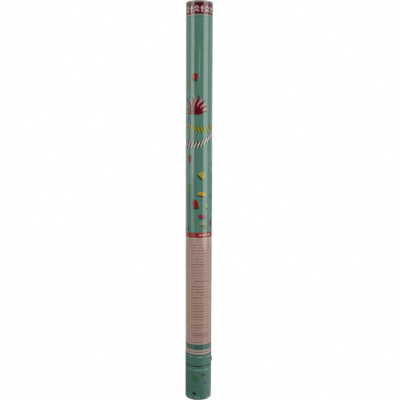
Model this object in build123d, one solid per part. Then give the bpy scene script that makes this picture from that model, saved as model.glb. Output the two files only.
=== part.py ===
from build123d import *

import math
import os

# A twist-to-fire confetti popper, in millimetres, standing on its twist base with +Z up.
# The origin is the middle of the standing face. A board barrel holds the confetti, a wad and
# a push-off muzzle seal. A can of compressed air is glued in the twist base. Turning the base
# turns the can and its cross pin, and the pin climbs two helical grooves in the lock ring that
# is stapled in the barrel, so the release plug is drawn out of the can's port.

# Tubes and their paper
TOTAL_LENGTH = 800.0
BORE = 50.0
TUBE_WALL = 1.7
WRAP_THICKNESS = 0.3
BASE_HEIGHT = 72.0
JOINT_GAP = 1.2
FIT_GAP = 0.1

# Collar band over the staples
COLLAR_HEIGHT = 21.6
COLLAR_THICKNESS = 0.6
COLLAR_EDGE_GAP = 0.2
STAPLE_WIRE = 1.1
STAPLE_CROWN = 9.0
STAPLE_BITE = 1.6
STAPLE_STAND_OFF = 0.15
STAPLE_BELOW_EDGE = 10.4
STAPLE_ANGLES = (0.0, 140.0)
STAPLE_HOLE_GAP = 0.05
RIDGE_SLOPE = 3.3

# End plug
PLUG_RECESS = 1.5
PLUG_HEIGHT = 10.5
PLUG_FLOOR = 2.0
PLUG_RIM = 2.0
PLUG_HUB_BORE = 14.0
PLUG_HUB_WALL = 2.0
PLUG_RIB_COUNT = 6
PLUG_RIB_WIDTH = 1.6

# Air can and the sleeve that holds it
SLEEVE_WALL = 2.7
SLEEVE_TOP_GAP = 0.6
CAN_GAP = 0.2
CAN_WALL = 1.0
CAN_FLOOR = 1.2
CAN_CORNER = 5.0
CAN_RISE = 3.0
CAN_LIP_GAP = 0.6
VALVE_HOLE = 6.0
VALVE_GAP = 0.1
VALVE_FLANGE = 2.5
VALVE_FLANGE_THICKNESS = 1.5

# Can head and its seal
HEAD_DEPTH = 11.0
HEAD_GAP = 0.2
NECK_HEIGHT = 26.0
NECK_GAP = 0.4
NECK_WALL = 4.6
SEAT_RISE = 6.0
SNAP_RISE = 4.0
SNAP_HEIGHT = 3.0
SNAP_DEPTH = 1.4
SNAP_GAP = 0.3
HEAD_SEAL_SECTION = 2.2
SEAL_GAP = 0.1

# Release plug, its seal and its cross pin
PLUG_ROOM = 3.4
SEAT_WIDTH = 2.6
STEM_GAP = 0.2
STEM_LENGTH = 12.0
STEM_TAPER = 2.0
RELEASE_CAP_HEIGHT = 10.0
RELEASE_CAP_CHAMFER = 1.5
PLUG_SEAL_SECTION = 1.8
PLUG_SEAL_BELOW_SEAT = 3.0
PIN_DIAMETER = 4.0
PIN_GAP = 0.25
PIN_PRESS_GAP = 0.02
PIN_END_GAP = 0.3
PIN_RISE = 12.0
PIN_ANGLE = 20.0

# Lock ring: twist and lift are also the limits of the joints
LOCK_WALL = 5.9
LOCK_UNDER_GAP = 2.0
LOCK_ROOF = 5.75
SPIGOT_LENGTH = 14.0
SPIGOT_WALL = 1.9
GROOVE_DEPTH = 3.6
GROOVE_STEPS = 12
TWIST_ANGLE = 90.0
LIFT = 8.0

# Wad, confetti and muzzle seal
WAD_SEAT_HEIGHT = 6.0
WAD_SEAT_WIDTH = 6.9
WAD_GAP = 0.3
WAD_CARD = 1.0
WAD_FELT = 12.0
PACK_TIER_COUNT = 56
SLIP_WIDTH = 15.0
PACK_GAP = 0.4
PACK_WALL_GAP = 0.5
TIER_ANGLE = 50.0
CONFETTI_COLOURS = ("red", "yellow", "green", "blue", "pink")
SEAL_RECESS = 3.4
SEAL_THICKNESS = 0.6
SEAL_SKIRT = 8.0
SEAL_SKIRT_WALL = 0.5
SEAL_WALL_GAP = 0.2

# Radii, from the bore outwards and inwards
bore_r = BORE / 2
tube_r = bore_r + TUBE_WALL
wrap_r = tube_r + WRAP_THICKNESS
inner_r = bore_r - FIT_GAP
collar_r = tube_r + COLLAR_THICKNESS
sleeve_bore_r = inner_r - SLEEVE_WALL
can_r = sleeve_bore_r - CAN_GAP
can_bore_r = can_r - CAN_WALL
head_r = can_bore_r - HEAD_GAP
lock_bore_r = inner_r - LOCK_WALL
groove_r = lock_bore_r + GROOVE_DEPTH
neck_r = lock_bore_r - NECK_GAP
snap_r = neck_r - SNAP_DEPTH
chamber_r = neck_r - NECK_WALL
cap_r = chamber_r - PLUG_ROOM
port_r = cap_r - SEAT_WIDTH
stem_r = port_r - STEM_GAP
pin_r = PIN_DIAMETER / 2
pin_room_r = pin_r + PIN_GAP
wad_r = bore_r - WAD_GAP
seal_r = bore_r - SEAL_WALL_GAP
staple_r = STAPLE_WIRE / 2

# Heights, from the standing face upwards
barrel_low = BASE_HEIGHT + JOINT_GAP
collar_top = barrel_low + COLLAR_HEIGHT
wrap_low = collar_top + COLLAR_EDGE_GAP
plug_top = PLUG_RECESS + PLUG_HEIGHT
spigot_low = BASE_HEIGHT - SPIGOT_LENGTH
sleeve_top = spigot_low - SLEEVE_TOP_GAP
can_low = plug_top
can_top = BASE_HEIGHT + CAN_RISE
lip_low = can_top - CAN_WALL
head_low = lip_low - HEAD_DEPTH
seat_z = can_top + SEAT_RISE
snap_low = can_top + SNAP_RISE
snap_top = snap_low + SNAP_HEIGHT
pin_z = can_top + PIN_RISE
neck_top = can_top + NECK_HEIGHT
lock_low = can_top + LOCK_UNDER_GAP
lock_top = pin_z + LIFT + pin_room_r + LOCK_ROOF
wad_low = lock_top + WAD_SEAT_HEIGHT
charge_low = wad_low + 2 * WAD_CARD + WAD_FELT
seal_top = TOTAL_LENGTH - SEAL_RECESS
charge_top = seal_top - SEAL_THICKNESS
staple_top = collar_top - STAPLE_BELOW_EDGE
staple_low = staple_top - STAPLE_CROWN


def disc(radius, low, high):
    """A round bar on the Z axis between two heights."""
    bar = Cylinder(radius, high - low, align=(Align.CENTER, Align.CENTER, Align.MIN))
    return Pos(0, 0, low) * bar


def ring(outer, inner, low, high):
    """A tube on the Z axis between two heights."""
    return disc(outer, low, high) - disc(inner, low, high)


def block(x_range, y_range, z_range, angle=0.0):
    """A box given by its ranges, turned about Z."""
    spans = [high - low for low, high in (x_range, y_range, z_range)]
    middle = [(low + high) / 2 for low, high in (x_range, y_range, z_range)]
    return Rot(0, 0, angle) * Pos(*middle) * Box(*spans)


def radial_rod(radius, start, end, angle, height):
    """A round bar that points straight out from the Z axis."""
    bar = Cylinder(radius, end - start, align=(Align.CENTER, Align.CENTER, Align.MIN))
    return Rot(0, 0, angle) * Pos(start, 0, height) * Rot(0, 90, 0) * bar


def o_ring(inner, outer, section, height):
    """A round-section seal midway between two walls."""
    return Pos(0, 0, height) * Torus((inner + outer) / 2, section / 2)


def staple_leg_heights():
    return (staple_low, staple_top)


def staple_holes(start, end):
    """Holes for the legs of every staple, between two radii."""
    return [
        radial_rod(staple_r + STAPLE_HOLE_GAP, start, end, angle, height)
        for angle in STAPLE_ANGLES
        for height in staple_leg_heights()
    ]


def barrel_tube():
    tube = ring(tube_r, bore_r, barrel_low, TOTAL_LENGTH)
    return tube - staple_holes(bore_r - TUBE_WALL, tube_r + TUBE_WALL)


def barrel_wrap():
    return ring(wrap_r, tube_r, wrap_low, TOTAL_LENGTH)


def ridge(half_top, half_foot, reach, low, high, angle):
    """A tent-shaped ridge along Z, from inside the tube wall out to a radius."""
    foot = bore_r
    outline = Polyline(
        (foot, -half_foot), (reach, -half_top), (reach, half_top), (foot, half_foot), close=True
    )
    return Rot(0, 0, angle) * Pos(0, 0, low) * extrude(make_face(outline), high - low)


def collar_band():
    """A strip wound round the barrel's foot, raised in a ridge over each staple."""
    crown_top = tube_r + STAPLE_STAND_OFF + STAPLE_WIRE + STAPLE_HOLE_GAP
    pocket_half = staple_r + STAPLE_HOLE_GAP
    ridge_low = staple_low - staple_r - STAPLE_HOLE_GAP
    ridge_high = staple_top + staple_r + STAPLE_HOLE_GAP
    band = disc(collar_r, barrel_low, collar_top)
    for angle in STAPLE_ANGLES:
        band += ridge(
            pocket_half + COLLAR_THICKNESS,
            pocket_half + COLLAR_THICKNESS + RIDGE_SLOPE,
            crown_top + COLLAR_THICKNESS,
            ridge_low - COLLAR_THICKNESS,
            ridge_high + COLLAR_THICKNESS,
            angle,
        )
    band -= disc(tube_r, barrel_low, collar_top)
    for angle in STAPLE_ANGLES:
        band -= ridge(
            pocket_half, pocket_half + RIDGE_SLOPE, crown_top, ridge_low, ridge_high, angle
        )
    return band


def staples():
    """Wire staples driven through the barrel into the lock ring, crowns upright."""
    crown_r = tube_r + STAPLE_STAND_OFF + staple_r
    bend = crown_r - tube_r
    tip_r = inner_r - STAPLE_BITE
    route = FilletPolyline(
        (tip_r, 0, staple_low),
        (crown_r, 0, staple_low),
        (crown_r, 0, staple_top),
        (tip_r, 0, staple_top),
        radius=bend,
    )
    wire = sweep(Plane(route @ 0, z_dir=route % 0) * Circle(staple_r), path=route)
    return [Rot(0, 0, angle) * wire for angle in STAPLE_ANGLES]


def groove_section(angle, height, half_height):
    """One upright slice of the groove, standing on a ray from the axis."""
    direction = Vector(1, 0, 0).rotate(Axis.Z, angle)
    corners = [
        direction * radius + Vector(0, 0, height + rise)
        for radius, rise in (
            (chamber_r, -half_height),
            (groove_r, -half_height),
            (groove_r, half_height),
            (chamber_r, half_height),
        )
    ]
    return make_face(Polyline(*corners, close=True))


def pin_groove(start_angle):
    """The way in from below, then the helical climb that the pin follows."""
    lead = math.atan(LIFT / (math.radians(TWIST_ANGLE) * lock_bore_r))
    half_height = pin_room_r / math.cos(lead)
    shares = [step / GROOVE_STEPS for step in range(GROOVE_STEPS + 1)]
    climb = loft(
        [
            groove_section(start_angle + TWIST_ANGLE * share, pin_z + LIFT * share, half_height)
            for share in shares
        ],
        ruled=True,
    )
    start = radial_rod(pin_room_r, chamber_r, groove_r, start_angle, pin_z)
    end = radial_rod(pin_room_r, chamber_r, groove_r, start_angle + TWIST_ANGLE, pin_z + LIFT)
    entry = block(
        (chamber_r, groove_r), (-pin_room_r, pin_room_r), (spigot_low, pin_z), start_angle
    )
    return [climb, start, end, entry]


def lock_ring():
    """Spigot, body with the pin grooves, and the snap bead that keeps the can head in."""
    body = ring(inner_r, inner_r - SPIGOT_WALL, spigot_low, lock_low)
    body += ring(inner_r, lock_bore_r, lock_low, lock_top)
    body += ring(inner_r, snap_r + SNAP_GAP, snap_low + SNAP_GAP, snap_top - SNAP_GAP)
    for start_angle in (PIN_ANGLE, PIN_ANGLE + 180):
        body -= pin_groove(start_angle)
    return body - staple_holes(inner_r - STAPLE_BITE - STAPLE_HOLE_GAP, bore_r)


def wad_seat():
    return ring(inner_r, inner_r - WAD_SEAT_WIDTH, lock_top, wad_low)


def base_tube():
    return ring(tube_r, bore_r, WRAP_THICKNESS, BASE_HEIGHT)


def base_wrap():
    """Paper round the base, turned in under the tube's lower end."""
    side = ring(wrap_r, tube_r, 0, BASE_HEIGHT)
    hem = ring(wrap_r, bore_r, 0, WRAP_THICKNESS)
    return side + hem


def end_plug():
    """A moulded cup with ribs and a hub that carry the can."""
    hub_r = PLUG_HUB_BORE / 2
    plug = disc(inner_r, PLUG_RECESS, PLUG_RECESS + PLUG_FLOOR)
    plug += ring(inner_r, inner_r - PLUG_RIM, PLUG_RECESS, plug_top)
    plug += ring(hub_r + PLUG_HUB_WALL, hub_r, PLUG_RECESS, plug_top)
    for k in range(PLUG_RIB_COUNT):
        plug += block(
            (hub_r, inner_r - PLUG_RIM),
            (-PLUG_RIB_WIDTH / 2, PLUG_RIB_WIDTH / 2),
            (PLUG_RECESS, plug_top),
            360 * k / PLUG_RIB_COUNT,
        ) - disc(hub_r, PLUG_RECESS, plug_top)
    return plug


def can_sleeve():
    return ring(inner_r, sleeve_bore_r, plug_top, sleeve_top)


def air_can():
    """A drawn can with its mouth turned in over the head."""
    outside = disc(can_r, can_low, can_top)
    outside = fillet(outside.edges().sort_by(Axis.Z)[0], CAN_CORNER)
    inside = disc(can_bore_r, can_low + CAN_FLOOR, lip_low)
    inside = fillet(inside.edges().sort_by(Axis.Z)[0], CAN_CORNER - CAN_WALL)
    mouth = disc(neck_r + CAN_LIP_GAP, lip_low, can_top)
    valve_hole = disc(VALVE_HOLE / 2, can_low, can_low + CAN_FLOOR)
    return outside - inside - mouth - valve_hole


def fill_valve():
    """A rubber valve through the can's floor, with a flange on each side."""
    stem_radius = VALVE_HOLE / 2 - VALVE_GAP
    flange_r = VALVE_HOLE / 2 + VALVE_FLANGE
    inside_low = can_low + CAN_FLOOR
    valve = disc(stem_radius, can_low, inside_low)
    valve += disc(flange_r, can_low - VALVE_FLANGE_THICKNESS, can_low)
    return valve + disc(flange_r, inside_low, inside_low + VALVE_FLANGE_THICKNESS)


def head_seal_z():
    return (head_low + lip_low) / 2


def seal_groove(radius, section, height):
    """The square groove for an O-ring in a round wall: its floor radius, low and high."""
    floor = radius - section
    half = section / 2 + SEAL_GAP
    return floor, height - half, height + half


def can_head():
    """Head in the can's mouth: port, chamber, snap groove, and slots that guide the pin."""
    floor, low, high = seal_groove(head_r, HEAD_SEAL_SECTION, head_seal_z())
    head = disc(head_r, head_low, lip_low) + disc(neck_r, head_low, neck_top)
    head -= ring(head_r, floor, low, high)
    head -= ring(neck_r, snap_r, snap_low, snap_top)
    head -= disc(port_r, head_low, seat_z)
    head -= disc(chamber_r, seat_z, neck_top)
    slot_low = pin_z - pin_room_r
    return head - block(
        (-neck_r, neck_r), (-pin_room_r, pin_room_r), (slot_low, neck_top), PIN_ANGLE
    )


def head_seal():
    floor, _, _ = seal_groove(head_r, HEAD_SEAL_SECTION, head_seal_z())
    return o_ring(floor, can_bore_r, HEAD_SEAL_SECTION, head_seal_z())


def plug_seal_z():
    return seat_z - PLUG_SEAL_BELOW_SEAT


def release_plug():
    """Stem in the port with a seal groove, and a cap that the cross pin goes through."""
    cap_low = seat_z + STEM_GAP
    cap_top = cap_low + RELEASE_CAP_HEIGHT
    floor, low, high = seal_groove(stem_r, PLUG_SEAL_SECTION, plug_seal_z())
    stem = disc(stem_r, seat_z - STEM_LENGTH, cap_low)
    stem = chamfer(stem.edges().sort_by(Axis.Z)[0], STEM_TAPER)
    cap = disc(cap_r, cap_low, cap_top)
    cap = chamfer(cap.edges().sort_by(Axis.Z)[-1], RELEASE_CAP_CHAMFER)
    plug = stem + cap - ring(stem_r, floor, low, high)
    return plug - radial_rod(pin_r + PIN_PRESS_GAP, -cap_r, cap_r, PIN_ANGLE, pin_z)


def plug_seal():
    floor, _, _ = seal_groove(stem_r, PLUG_SEAL_SECTION, plug_seal_z())
    return o_ring(floor, port_r, PLUG_SEAL_SECTION, plug_seal_z())


def cross_pin():
    reach = groove_r - PIN_END_GAP
    return radial_rod(pin_r, -reach, reach, PIN_ANGLE, pin_z)


def wad_lower_card():
    return disc(wad_r, wad_low, wad_low + WAD_CARD)


def wad_felt():
    return disc(wad_r, wad_low + WAD_CARD, wad_low + WAD_CARD + WAD_FELT)


def wad_upper_card():
    return disc(wad_r, wad_low + WAD_CARD + WAD_FELT, charge_low)


def confetti():
    """Packs of paper slips, two to a tier, each tier turned from the one below."""
    skirt_r = seal_r - SEAL_SKIRT_WALL
    pack_r = skirt_r - PACK_WALL_GAP
    outer_edge = SLIP_WIDTH + PACK_GAP / 2
    half_length = math.sqrt(pack_r**2 - outer_edge**2)
    tier_height = (charge_top - charge_low) / PACK_TIER_COUNT
    packs = {colour: [] for colour in CONFETTI_COLOURS}
    for tier in range(PACK_TIER_COUNT):
        low = charge_low + tier * tier_height
        for side, half_turn in enumerate((0, 180)):
            colour = CONFETTI_COLOURS[(2 * tier + side) % len(CONFETTI_COLOURS)]
            pack = block(
                (-half_length, half_length),
                (PACK_GAP / 2, outer_edge),
                (low, low + tier_height),
                tier * TIER_ANGLE + half_turn,
            )
            packs[colour].append(pack)
    return {f"confetti_{colour}": solids for colour, solids in packs.items()}


def muzzle_seal():
    """A push-off cap: a disc whose skirt hangs down round the top of the confetti."""
    top = disc(seal_r, charge_top, seal_top)
    skirt = ring(seal_r, seal_r - SEAL_SKIRT_WALL, charge_top - SEAL_SKIRT, charge_top)
    return top + skirt


def build():
    """Every piece under its node's name."""
    makers = (
        barrel_tube, barrel_wrap, collar_band, staples, lock_ring, wad_seat,
        base_tube, base_wrap, end_plug, can_sleeve, air_can, fill_valve, can_head, head_seal,
        release_plug, plug_seal, cross_pin,
        wad_lower_card, wad_felt, wad_upper_card,
        muzzle_seal,
    )
    pieces = {maker.__name__: maker() for maker in makers}
    pieces.update(confetti())
    return pieces


os.makedirs("parts", exist_ok=True)
for node, shape in build().items():
    solids = shape if isinstance(shape, list) else [shape]
    whole = Compound([solid for piece in solids for solid in piece.solids()])
    export_step(whole, f"parts/{node}.step")
    print(node, len(whole.solids()), "solids", round(whole.volume), "mm3")
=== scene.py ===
import math
import random

import bmesh
import bpy
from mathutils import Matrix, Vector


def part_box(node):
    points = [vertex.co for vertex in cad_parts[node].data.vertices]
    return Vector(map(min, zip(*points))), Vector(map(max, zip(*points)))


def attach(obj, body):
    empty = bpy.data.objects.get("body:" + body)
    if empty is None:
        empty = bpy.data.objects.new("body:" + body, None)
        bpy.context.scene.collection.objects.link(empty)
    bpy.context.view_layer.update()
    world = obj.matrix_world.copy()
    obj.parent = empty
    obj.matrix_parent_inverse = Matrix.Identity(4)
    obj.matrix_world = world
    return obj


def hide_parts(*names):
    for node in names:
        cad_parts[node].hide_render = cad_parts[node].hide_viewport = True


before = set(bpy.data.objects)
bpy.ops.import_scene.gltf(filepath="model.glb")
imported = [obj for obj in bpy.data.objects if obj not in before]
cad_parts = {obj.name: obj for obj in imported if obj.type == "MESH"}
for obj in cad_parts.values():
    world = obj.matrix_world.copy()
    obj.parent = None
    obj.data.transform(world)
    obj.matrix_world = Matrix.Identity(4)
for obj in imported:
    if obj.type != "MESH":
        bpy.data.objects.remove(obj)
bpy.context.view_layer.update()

MM = 0.001


# Barrel tube and base tube: grey-brown board, wound in spiral plies, glued and cut square.
# The cut ends show the plies as rings, and printed paper is glued round the outside.

def operator(operation):
    """An operator of Value, which adds one Math node."""
    return lambda self, other: self.math(operation, other)


class Value:
    """A node's output that can be written in sums."""

    def __init__(self, nodes, socket):
        self.nodes = nodes
        self.socket = socket

    def math(self, operation, *others):
        return self.nodes.math(operation, self, *others)

    __add__ = __radd__ = operator("ADD")
    __sub__ = operator("SUBTRACT")
    __mul__ = __rmul__ = operator("MULTIPLY")
    __truediv__ = operator("DIVIDE")
    __mod__ = operator("FLOORED_MODULO")
    __gt__ = operator("GREATER_THAN")
    __lt__ = operator("LESS_THAN")

    def __rsub__(self, other):
        return self.nodes.math("SUBTRACT", other, self)

    def __neg__(self):
        return self * -1

    def between(self, low, high):
        return (self > low) * (self < high)

    def rise(self, low, high):
        """0 below low, 1 above high, and a smooth step from one to the other."""
        inputs = {"Value": self, "From Min": low, "From Max": high}
        return self.nodes.node("ShaderNodeMapRange", inputs, interpolation_type="SMOOTHSTEP")

    def near(self, middle, close, far):
        """1 closer to the middle than close, 0 farther than far, and a smooth step between."""
        return 1 - (self - middle).math("ABSOLUTE").rise(close, far)


class Nodes:
    """A node tree, with one method that adds any node."""

    def __init__(self, tree):
        self.tree = tree

    def node(self, kind, inputs=None, out=0, **settings):
        """Adds a node with its settings, links or sets its inputs, and returns one output."""
        made = self.tree.nodes.new(kind)
        for name, setting in settings.items():
            setattr(made, name, setting)
        for key, given in (inputs or {}).items():
            if isinstance(given, Value):
                self.tree.links.new(given.socket, made.inputs[key])
            else:
                made.inputs[key].default_value = given
        return Value(self, made.outputs[out])

    def math(self, operation, *values):
        return self.node("ShaderNodeMath", dict(enumerate(values)), operation=operation)

    def vector(self, x, y, z):
        return self.node("ShaderNodeCombineXYZ", {"X": x, "Y": y, "Z": z})

    def split(self, vector):
        parts = self.node("ShaderNodeSeparateXYZ", {"Vector": vector}).socket.node
        return [Value(self, parts.outputs[axis]) for axis in "XYZ"]

    def noise_at(self, spot, size, detail):
        """Soft noise from 0 to 1 whose lumps have about the given size."""
        return self.node("ShaderNodeTexNoise", {"Vector": spot, "Scale": 1 / size, "Detail": detail})


class Finish(Nodes):
    """A material: one Principled shader fed by patterns in the piece's own coordinates."""

    def __init__(self, name, uniform):
        self.material = bpy.data.materials.new(name)
        self.material.use_nodes = True
        super().__init__(self.material.node_tree)
        self.shader = self.tree.nodes["Principled BSDF"]
        for socket, setting in uniform.items():
            self.shader.inputs[socket].default_value = setting
        self.spot = self.node("ShaderNodeTexCoord", out="Object")
        self.x, self.y, self.z = self.split(self.spot)

    def noise(self, size, detail=2.0, spot=None):
        return self.noise_at(spot or self.spot, size, detail)

    def chance(self, number):
        """A random value from 0 to 1 that goes with each whole number."""
        return self.node("ShaderNodeTexWhiteNoise", {"W": number}, noise_dimensions="1D")

    def mix(self, share, first, second, blend="MIX"):
        # The colours are the node's inputs 6 and 7 and its output 2.
        inputs = {0: share, 6: first, 7: second}
        return self.node("ShaderNodeMix", inputs, 2, data_type="RGBA", blend_type=blend)

    def tint(self, colour, tone):
        """A colour multiplied by a tone that is near white."""
        return self.mix(1.0, colour, tone, "MULTIPLY")

    def feed(self, socket, value):
        self.tree.links.new(value.socket, self.shader.inputs[socket])

    def paint(self, share, first, second):
        """Makes the base colour a mix of two."""
        self.feed("Base Color", self.mix(share, first, second))

    def bump(self, height, distance, strength=1.0):
        inputs = {"Height": height, "Distance": distance, "Strength": strength}
        self.feed("Normal", self.node("ShaderNodeBump", inputs))


def srgb(red, green, blue):
    """A colour as a screen shows it, 0 to 255, as the linear values that shaders use."""
    linear = []
    for level in (red, green, blue):
        share = level / 255
        linear.append(share / 12.92 if share <= 0.04045 else ((share + 0.055) / 1.055) ** 2.4)
    return (*linear, 1.0)


def dress(finish, *nodes):
    """Gives CAD nodes their finish."""
    for node in nodes:
        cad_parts[node].material_slots[0].material = finish.material


def board_finish(name, pale, dark, ply):
    """Grey board: fibres, blotches, and plies that show as rings on a cut end."""
    board = Finish(name, {"Roughness": 0.88})
    fibres = board.noise(0.9 * MM, 5.0)
    blotches = board.noise(14 * MM)
    radius = (board.x * board.x + board.y * board.y).math("SQRT")
    rings = (radius * (2 * math.pi / ply)).math("SINE") * 0.25
    board.paint(fibres * 0.6 + blotches * 0.3 + rings, dark, pale)
    board.bump(fibres + rings, 0.12 * MM)
    return board


tube_board = board_finish("tube_board", srgb(176, 163, 142), srgb(112, 99, 82), 0.45 * MM)
dress(tube_board, "barrel_tube", "base_tube")


# End plug: a dark moulded cup glued into the bottom of the base, a little inside the hem.
# Its underside carries two raised rings and the pip where the mould was filled.

def shaded(colour, share):
    """A darker shade of a colour."""
    return (*(share * part for part in colour[:3]), 1.0)


def moulded_finish(name, colour, roughness, shade=0.82):
    """Moulded plastic: nearly even colour, a fine texture and faint flow marks."""
    plastic = Finish(name, {"IOR": 1.49})
    grain = plastic.noise(0.35 * MM, 3.0)
    flow = plastic.noise(9 * MM, 1.0)
    plastic.paint(flow * 0.7 + grain * 0.3, shaded(colour, shade), colour)
    plastic.feed("Roughness", grain * 0.16 + flow * 0.1 + (roughness - 0.13))
    plastic.bump(grain, 0.05 * MM, 0.6)
    return plastic


def in_scene(name, data):
    """A new object, put into the scene."""
    added = bpy.data.objects.new(name, data)
    bpy.context.scene.collection.objects.link(added)
    return added


def new_piece(name, mesh, finish, body):
    """Puts a finished mesh into the scene as a piece that rides on a body."""
    piece = in_scene(name, mesh)
    if finish is not None:
        mesh.materials.clear()
        mesh.materials.append(finish.material)
    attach(piece, body)
    return piece


def smooth(mesh, sharpest=40.0):
    """Smooth shading that keeps real corners."""
    mesh.polygons.foreach_set("use_smooth", [True] * len(mesh.polygons))
    mesh.set_sharp_from_angle(angle=math.radians(sharpest))
    return mesh


def turned(name, outline, columns, push=None):
    """A closed outline of (radius, height) turned round Z; push may move each point."""
    mesh = bpy.data.meshes.new(name)
    bm = bmesh.new()
    rings = []
    for radius, height in outline:
        count = columns if radius > 0 else 1
        ring = []
        for k in range(count):
            angle = 2 * math.pi * k / columns
            r, z = push(radius, height, angle) if push else (radius, height)
            ring.append(bm.verts.new((r * math.sin(angle), -r * math.cos(angle), z)))
        rings.append(ring)
    for first, second in zip(rings, rings[1:] + rings[:1]):
        if len(first) == len(second) == 1:
            continue
        for k in range(columns):
            corners = [first[k % len(first)], first[(k + 1) % len(first)]]
            corners += [second[(k + 1) % len(second)], second[k % len(second)]]
            bm.faces.new(list(dict.fromkeys(corners)))
    bmesh.ops.recalc_face_normals(bm, faces=bm.faces)
    bm.to_mesh(mesh)
    bm.free()
    return smooth(mesh)


end_plug_plastic = moulded_finish("end_plug_plastic", srgb(52, 54, 56), 0.5)
dress(end_plug_plastic, "end_plug")
plug_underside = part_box("end_plug")[0].z
plug_face = [
    (0, 0.55), (1.1, 0.55), (1.5, 0.25), (1.7, -0.1), (8.0, -0.05), (8.4, 0.35), (9.6, 0.35),
    (10.0, -0.1), (20.4, -0.1), (20.8, 0.5), (21.2, 0.7), (22.6, 0.7), (23.0, 0.5), (23.4, -0.1),
    (23.4, -0.3), (0, -0.3),
]
plug_outline = [(r * MM, plug_underside - drop * MM) for r, drop in plug_face]
new_piece(
    "end_plug_face", turned("end_plug_face", plug_outline, 96), end_plug_plastic,
    "twist_base",
)


# Air can and what is sealed with it in the base: the board sleeve that centres it, the drawn
# aluminium can, its rubber fill valve, and the white nylon head with its seal in the mouth.

def drawn_metal_finish(name, colour, roughness):
    """Bare metal with fine draw lines along Z."""
    metal = Finish(name, {"Metallic": 1.0})
    stretched = metal.vector(metal.x * 30, metal.y * 30, metal.z)
    lines = metal.noise(6 * MM, 3.0, stretched)
    worn = metal.noise(5 * MM, 3.0)
    metal.paint(lines, shaded(colour, 0.75), colour)
    metal.feed("Roughness", lines * 0.18 + worn * 0.12 + (roughness - 0.15))
    metal.bump(lines, 0.02 * MM, 0.5)
    return metal


def rubber_finish(name):
    """Black moulded rubber with a faint pale bloom."""
    rubber = Finish(name, {"IOR": 1.5})
    bloom = rubber.noise(3 * MM, 4.0)
    rubber.paint(bloom, srgb(18, 18, 19), srgb(46, 46, 48))
    rubber.feed("Roughness", bloom * 0.2 + 0.5)
    rubber.bump(rubber.noise(0.3 * MM), 0.03 * MM)
    return rubber


grey_board = board_finish("wad_board", srgb(186, 178, 162), srgb(130, 121, 106), 0.3 * MM)
seal_rubber = rubber_finish("seal_rubber")
dress(grey_board, "can_sleeve")
dress(drawn_metal_finish("can_metal", srgb(214, 214, 217), 0.3), "air_can")
dress(seal_rubber, "fill_valve", "head_seal")
dress(moulded_finish("head_plastic", srgb(226, 225, 219), 0.42, 0.93), "can_head")


# Release plug: red acetal, held in the head's port by its seal, with a steel cross pin pressed
# through its cap. The pin's ends run in the two grooves of the lock ring above.

dress(moulded_finish("release_plastic", srgb(178, 36, 34), 0.32), "release_plug")
dress(seal_rubber, "plug_seal")
dress(drawn_metal_finish("pin_steel", srgb(196, 197, 200), 0.25), "cross_pin")


# Lock ring: black moulded ring stapled into the foot of the barrel. Its spigot bridges the
# joint to the base and shows as the dark line there, widened by painted shade on the papers
# beside it. The wad seat is a board ring glued above.

dress(moulded_finish("lock_plastic", srgb(30, 32, 33), 0.45), "lock_ring")
dress(drawn_metal_finish("staple_wire", srgb(190, 190, 194), 0.3), "staples")
dress(grey_board, "wad_seat")


# Wad: a pressed felt disc between two grey cards, pushed down onto its seat in the barrel.
# It drives the confetti ahead of it when the air is let go.

def felt_finish(name):
    """Pressed grey felt: hairs over a cloudy ground."""
    felt = Finish(name, {"Roughness": 0.95, "Sheen Weight": 0.3})
    hairs = felt.noise(0.5 * MM, 6.0)
    clouds = felt.noise(6 * MM)
    felt.paint(hairs * 0.6 + clouds * 0.4, srgb(96, 92, 87), srgb(168, 163, 156))
    felt.bump(hairs, 0.4 * MM)
    return felt


dress(felt_finish("wad_felt"), "wad_felt")
dress(grey_board, "wad_lower_card", "wad_upper_card")


# Confetti: tissue slips cut in blocks and dropped in flat, two blocks to a tier, each tier
# turned from the one below. Every block is a pile of slips that have slid a little and curled.

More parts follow.
